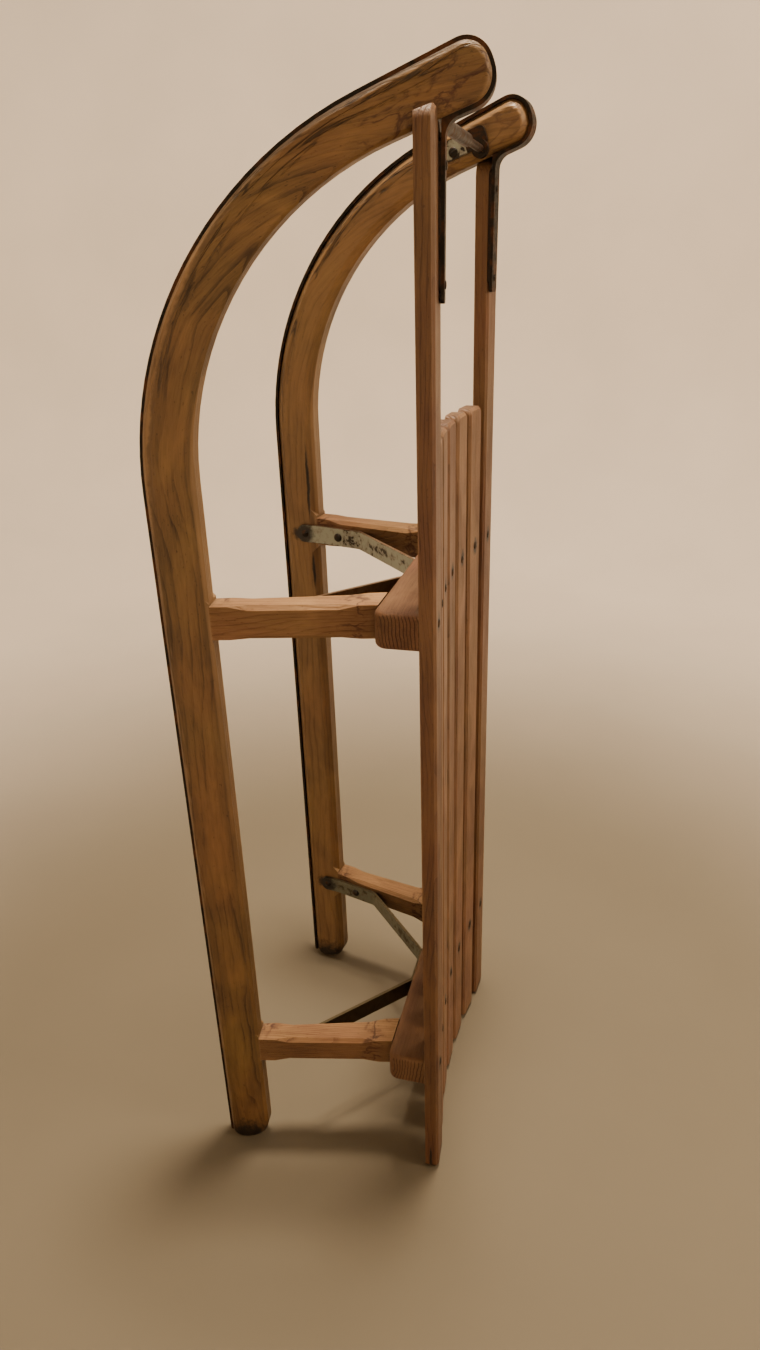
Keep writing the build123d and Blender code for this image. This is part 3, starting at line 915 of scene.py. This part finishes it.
class TOBOGGAN_OT_iron_screws(Operator):
    """Screw the irons to the soles, and their straps to the rails"""

    bl_idname = "toboggan.iron_screws"
    bl_label = "Iron Screws"

    def execute(self, context):
        sizes = context.scene.toboggan_fastenings
        flush = screw_head(sizes.nail, 0.0005, 0.0009, sizes.turns)
        raised = screw_head(sizes.nail, 0.0013, 0.0011, sizes.turns)
        bm = bmesh.new()
        for side, name in ((1, "runner_iron_right"), (-1, "runner_iron_left")):
            # Up the straight sole, then round the bend by angle
            spots = [(0, z) for z in (0.04, 0.19, 0.34, 0.49, 0.64)]
            spots += [(math.radians(a), BEND_START) for a in (5, 30, 54)]
            for count, (angle, z) in enumerate(spots):
                out = Vector((-math.cos(angle), 0, math.sin(angle)))
                far = Vector((BEND_CENTRE, 0, z)) + 0.35 * out
                start = on_runner(side, *far)
                toward = on_runner(side, BEND_CENTRE, 0, z) - start
                place, normal = surface(name, start, toward)
                stand_on(bm, flush, place, normal, 1.3 * count + side)
            for count, drop in enumerate((0.028, 0.107)):
                spot = on_runner(side, 0.002, 0, STRAP_TOP - drop)
                place, normal = surface(name, spot + Vector((0.05, 0, 0)), (-1, 0, 0))
                stand_on(bm, raised, place, normal, 0.6 + 1.1 * count + side)
        flush.free()
        raised.free()
        material = bare_steel("steel_screw_scaled", context.scene.toboggan_steel.iron, 0.6)
        add_piece("iron_screws", bm, material)
        return {"FINISHED"}


class TOBOGGAN_OT_strap_gap_shade(Operator):
    """Put a near-black slab of painted shade in the gaps behind the straps, where they stand off
    the rails
    """

    bl_idname = "toboggan.strap_dirt"
    bl_label = "Strap Gap Shade"

    def execute(self, context):
        bm = bmesh.new()
        foot, top, steps = 0.937, 1.039, 34
        back, edge, width = -0.0021, -0.0008, 0.0152
        for side in (1, -1):
            rings = []
            for step in range(steps + 1):
                z = foot + (top - foot) * step / steps
                # The gap widens upwards, and the slab narrows at both ends
                front = 0.0003 + 0.0081 * (z - 0.93)
                rough = [
                    0.0009 * noise.noise(Vector((90 * z, 4 * side, seed))) for seed in (0.5, 7.5)
                ]
                half = width / 2 * (1 - 0.5 * (abs(2 * step / steps - 1) > 0.99))
                section = [
                    (back, -half),
                    (edge, -half - 0.0004 + rough[0]),
                    (front, -half + rough[0]),
                    (front, half + rough[1]),
                    (edge, half + 0.0004 + rough[1]),
                    (back, half),
                ]
                rings.append([bm.verts.new(on_runner(side, x, y, z)) for x, y in section])
            skin(bm, rings)
            bm.faces.new(rings[0])
            bm.faces.new(rings[-1])
        add_piece("strap_dirt", bm, gap_shade_filler("filler_black_matt"))
        return {"FINISHED"}


class TOBOGGAN_OT_brace_bolts(Operator):
    """Fasten the braces to runners, legs and crossbeams, and the rod to the horns"""

    bl_idname = "toboggan.brace_bolts"
    bl_label = "Brace and Rod Bolts"

    def execute(self, context):
        sizes = context.scene.toboggan_fastenings
        steel = context.scene.toboggan_steel
        screw = screw_head(0.009, 0.0018, 0.0014, sizes.turns)
        bolt = bolt_head(0.005, 0.0032, sizes.turns)
        inside = -0.06
        bm = bmesh.new()
        for place_name, height in YOKES.items():
            name = "brace_" + place_name
            z = height - BRACE_DROP
            for side in (1, -1):
                for x, head in ((RUNNER_BOLT, screw), (LEG_BOLT, bolt)):
                    start = on_runner(side, x, inside, z)
                    place, normal = surface(name, start, on_runner(side, x, 0, z) - start)
                    stand_on(bm, head, place, normal, 0.9 * side + 10 * x)
                place, normal = surface(name, (-0.05, MIDDLE_BOLT * side, z), (1, 0, 0))
                stand_on(bm, screw, place, normal, 0.5 + side)
        z = STRAP_TOP + ROD_SCREW * math.tan(HORN_SLOPE) + ROD_LIFT
        for side in (1, -1):
            start = on_runner(side, ROD_SCREW, inside, z)
            place, normal = surface("nose_rod", start, on_runner(side, ROD_SCREW, 0, z) - start)
            stand_on(bm, screw, place, normal, 2.1 * side)
        screw.free()
        bolt.free()
        material = bare_steel("steel_bolt_blackened", steel.bolt, 0.7)
        add_piece("brace_bolts", bm, material)
        return {"FINISHED"}


class TOBOGGAN_OT_stage(Operator):
    """Set the floor, the soft lights and the camera"""

    bl_idname = "toboggan.stage"
    bl_label = "Stage"

    def execute(self, context):
        settings = context.scene.toboggan_stage
        # A flat floor that bends up all round into the backdrop
        flat, bend_size, top, sides, steps = 1.9, 0.9, 3.3, 96, 12
        quarter = [math.pi / 2 * i / steps for i in range(steps + 1)]
        bend = [
            (flat + bend_size * math.sin(a), bend_size - bend_size * math.cos(a)) for a in quarter
        ]
        profile = [(0.8, 0), (1.5, 0), *bend, (flat + bend_size, top)]
        bm = bmesh.new()
        rings = [circle(bm, radius, height, sides) for radius, height in profile]
        bm.faces.new(rings[0])
        skin(bm, rings)
        plaster = pale_plaster("plaster_trowelled_pale", settings)
        floor = new_object("floor", finished_mesh("floor", bm, plaster))

        middle, behind = (0, 0, 0.5), (0.1, 2.8, 0.9)
        warm, warmest = "FFEEDA", "FFE9CC"
        for name, place, aim, size, watts, tint in (
            ("key_light", (2.1, -0.2, 1.9), middle, 1.0, settings.key_power, warmest),
            ("top_light", (0.15, 0.15, 3.0), middle, 0.45, settings.top_power, warmest),
            ("backdrop_light", (0.2, 0.8, 2.7), behind, 1.0, settings.backdrop_power, warm),
        ):
            lamp = bpy.data.lights.new(name, "AREA")
            lamp.shape = "DISK"
            lamp.size = size
            lamp.energy = watts
            lamp.color = srgb(tint)[:3]
            light = new_object(name, lamp)
            light.location = place
            direction = Vector(aim) - Vector(place)
            light.rotation_euler = direction.to_track_quat("-Z", "Y").to_euler()
            light.visible_camera = False
        bulb = bpy.data.lights.new("room_light", "POINT")
        bulb.shadow_soft_size = 0.4
        bulb.energy = settings.room_power
        bulb.color = srgb(warm)[:3]
        light = new_object("room_light", bulb)
        light.location = (0.3, 0.3, 2.6)
        light.visible_camera = False

        world = bpy.data.worlds.new("studio_air")
        world.use_nodes = True
        air = world.node_tree.nodes["Background"]
        fill(world.node_tree, air, {"Color": srgb("F4E6D2"), "Strength": 0.04})
        context.scene.world = world

        # The eye stands off the sled's left side, towards its seat, and looks down by 24 degrees
        yaw, pitch, roll = [math.radians(a) for a in EYE_TURN]
        back = Vector(
            (math.sin(yaw) * math.cos(pitch), -math.cos(yaw) * math.cos(pitch), math.sin(pitch))
        )
        level = Vector((math.cos(yaw), math.sin(yaw), 0))
        lift = back.cross(level)
        right = math.cos(roll) * level + math.sin(roll) * lift
        up = math.cos(roll) * lift - math.sin(roll) * level
        lens = bpy.data.cameras.new("camera")
        lens.sensor_width = SENSOR
        lens.lens = LENS
        camera = new_object("camera", lens)
        turn = Matrix((right, up, back)).transposed().to_4x4()
        camera.matrix_world = Matrix.Translation(EYE) @ turn
        context.scene.camera = camera
        return {"FINISHED"}


STEPS = (
    TOBOGGAN_OT_wood,
    TOBOGGAN_OT_steel,
    TOBOGGAN_OT_seat_screws,
    TOBOGGAN_OT_iron_screws,
    TOBOGGAN_OT_strap_gap_shade,
    TOBOGGAN_OT_brace_bolts,
    TOBOGGAN_OT_stage,
)
GROUPS = {
    "toboggan_wood": WoodSettings,
    "toboggan_steel": SteelSettings,
    "toboggan_fastenings": FasteningSettings,
    "toboggan_stage": StageSettings,
}


class TOBOGGAN_PT_panel(Panel):
    """Settings and steps of the toboggan"""

    bl_idname = "TOBOGGAN_PT_panel"
    bl_label = "Toboggan"
    bl_space_type = "VIEW_3D"
    bl_region_type = "UI"
    bl_category = "Toboggan"

    def draw(self, context):
        for attribute, group in GROUPS.items():
            box = self.layout.box()
            box.label(text=group.__doc__)
            for name in group.__annotations__:
                box.prop(getattr(context.scene, attribute), name)
        for step in STEPS:
            self.layout.operator(step.bl_idname)


def register():
    """add the settings, the steps and the panel"""
    for cls in (*GROUPS.values(), *STEPS, TOBOGGAN_PT_panel):
        bpy.utils.register_class(cls)
    for attribute, group in GROUPS.items():
        setattr(bpy.types.Scene, attribute, PointerProperty(type=group))


def unregister():
    """take the panel, the steps and the settings out again"""
    for attribute in GROUPS:
        delattr(bpy.types.Scene, attribute)
    for cls in reversed((*GROUPS.values(), *STEPS, TOBOGGAN_PT_panel)):
        bpy.utils.unregister_class(cls)


def main():
    """build the whole sled"""
    register()
    bpy.ops.toboggan.stage()
    bpy.ops.toboggan.wood()
    bpy.ops.toboggan.steel()
    bpy.ops.toboggan.seat_screws()
    bpy.ops.toboggan.iron_screws()
    bpy.ops.toboggan.strap_dirt()
    bpy.ops.toboggan.brace_bolts()


if __name__ == "__main__":
    main()
